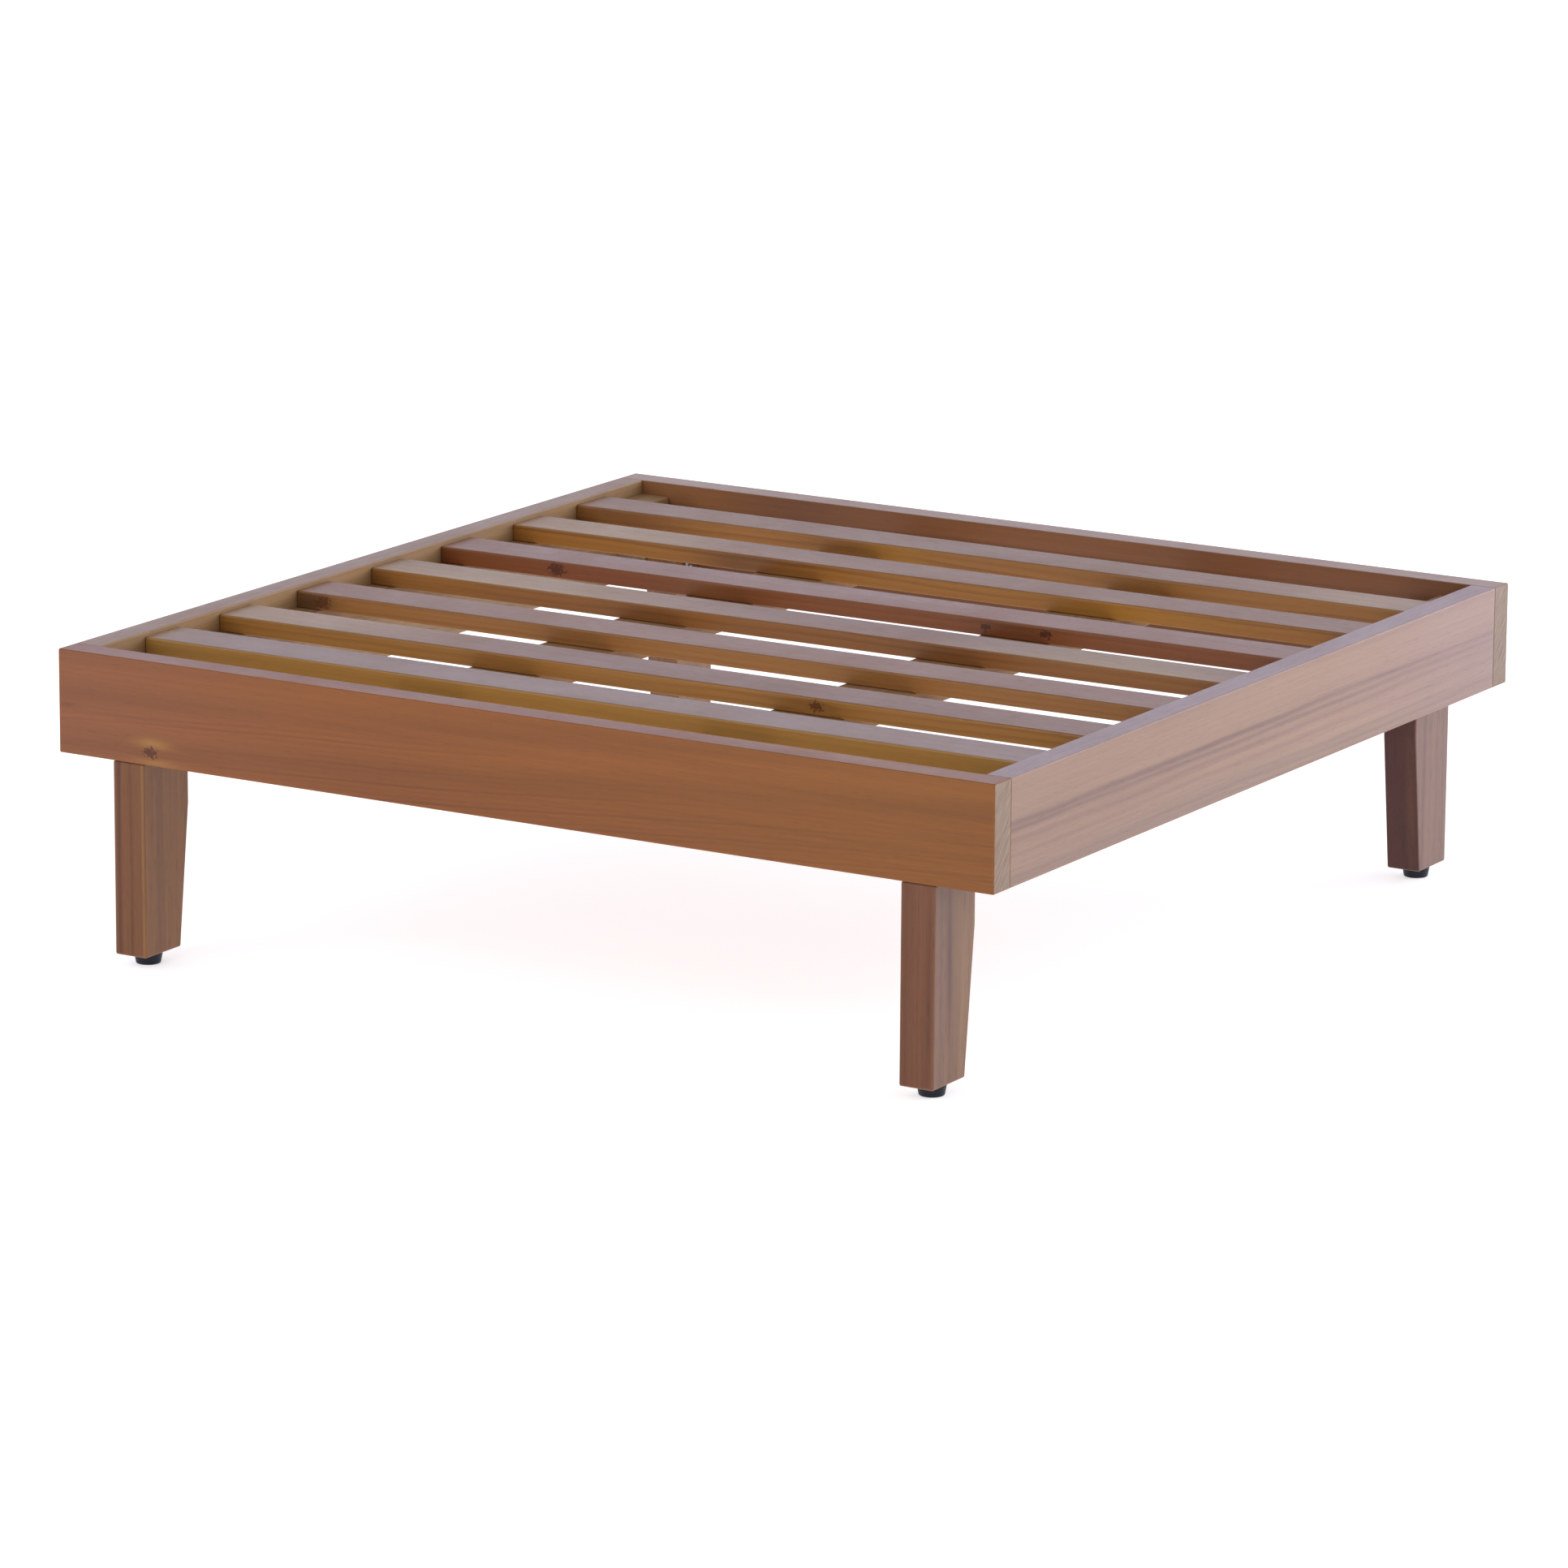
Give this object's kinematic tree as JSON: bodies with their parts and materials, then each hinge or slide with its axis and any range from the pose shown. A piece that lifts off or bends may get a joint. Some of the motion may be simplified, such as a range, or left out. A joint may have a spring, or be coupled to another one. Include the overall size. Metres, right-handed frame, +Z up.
{
  "type": "slatted bed frame",
  "caption": "Low square wooden bed frame: slatted deck inside board rails, on tapered legs with screw-in levelling feet.",
  "frame": {"origin": "on the floor under the middle of the frame, where the four feet stand", "axes": "+Z up; front board towards -Y; the slats run along X"},
  "size_m": [0.8, 0.8, 0.237],
  "materials": {
    "rail_wood": "oiled",
    "slat_wood": "oiled",
    "leg_wood": "oiled",
    "batten_wood": "planed, unfinished",
    "foot_plastic": "moulded, matt",
    "zinc_steel": "bright zinc plated",
    "insert_brass": "machined"
  },
  "bodies": {
    "frame": {"front_board": "rail_wood", "back_board": "rail_wood", "left_board": "rail_wood", "right_board": "rail_wood", "slat_1": "slat_wood", "slat_2": "slat_wood", "slat_3": "slat_wood", "slat_4": "slat_wood", "slat_5": "slat_wood", "slat_6": "slat_wood", "slat_7": "slat_wood", "left_lath": "batten_wood", "right_lath": "batten_wood", "left_ledger": "batten_wood", "right_ledger": "batten_wood", "corner_block_front_left": "batten_wood", "leg_front_left": "leg_wood", "lower_bolt_front_left": "zinc_steel", "lower_insert_front_left": "insert_brass", "upper_bolt_front_left": "zinc_steel", "upper_insert_front_left": "insert_brass", "foot_insert_front_left": "insert_brass", "corner_block_front_right": "batten_wood", "leg_front_right": "leg_wood", "lower_bolt_front_right": "zinc_steel", "lower_insert_front_right": "insert_brass", "upper_bolt_front_right": "zinc_steel", "upper_insert_front_right": "insert_brass", "foot_insert_front_right": "insert_brass", "corner_block_back_left": "batten_wood", "leg_back_left": "leg_wood", "lower_bolt_back_left": "zinc_steel", "lower_insert_back_left": "insert_brass", "upper_bolt_back_left": "zinc_steel", "upper_insert_back_left": "insert_brass", "foot_insert_back_left": "insert_brass", "corner_block_back_right": "batten_wood", "leg_back_right": "leg_wood", "lower_bolt_back_right": "zinc_steel", "lower_insert_back_right": "insert_brass", "upper_bolt_back_right": "zinc_steel", "upper_insert_back_right": "insert_brass", "foot_insert_back_right": "insert_brass"},
    "foot_front_left": {"foot_stem_front_left": "zinc_steel", "foot_pad_front_left": "foot_plastic"},
    "foot_front_right": {"foot_stem_front_right": "zinc_steel", "foot_pad_front_right": "foot_plastic"},
    "foot_back_left": {"foot_stem_back_left": "zinc_steel", "foot_pad_back_left": "foot_plastic"},
    "foot_back_right": {"foot_stem_back_right": "zinc_steel", "foot_pad_back_right": "foot_plastic"}
  },
  "joints": [
    {"name": "foot_front_left_level", "type": "slide", "parent": "frame", "child": "foot_front_left", "axis": [0, 0, -1], "range_m": [0, 0.01]},
    {"name": "foot_front_right_level", "type": "slide", "parent": "frame", "child": "foot_front_right", "axis": [0, 0, -1], "range_m": [0, 0.01]},
    {"name": "foot_back_left_level", "type": "slide", "parent": "frame", "child": "foot_back_left", "axis": [0, 0, -1], "range_m": [0, 0.01]},
    {"name": "foot_back_right_level", "type": "slide", "parent": "frame", "child": "foot_back_right", "axis": [0, 0, -1], "range_m": [0, 0.01]}
  ]
}
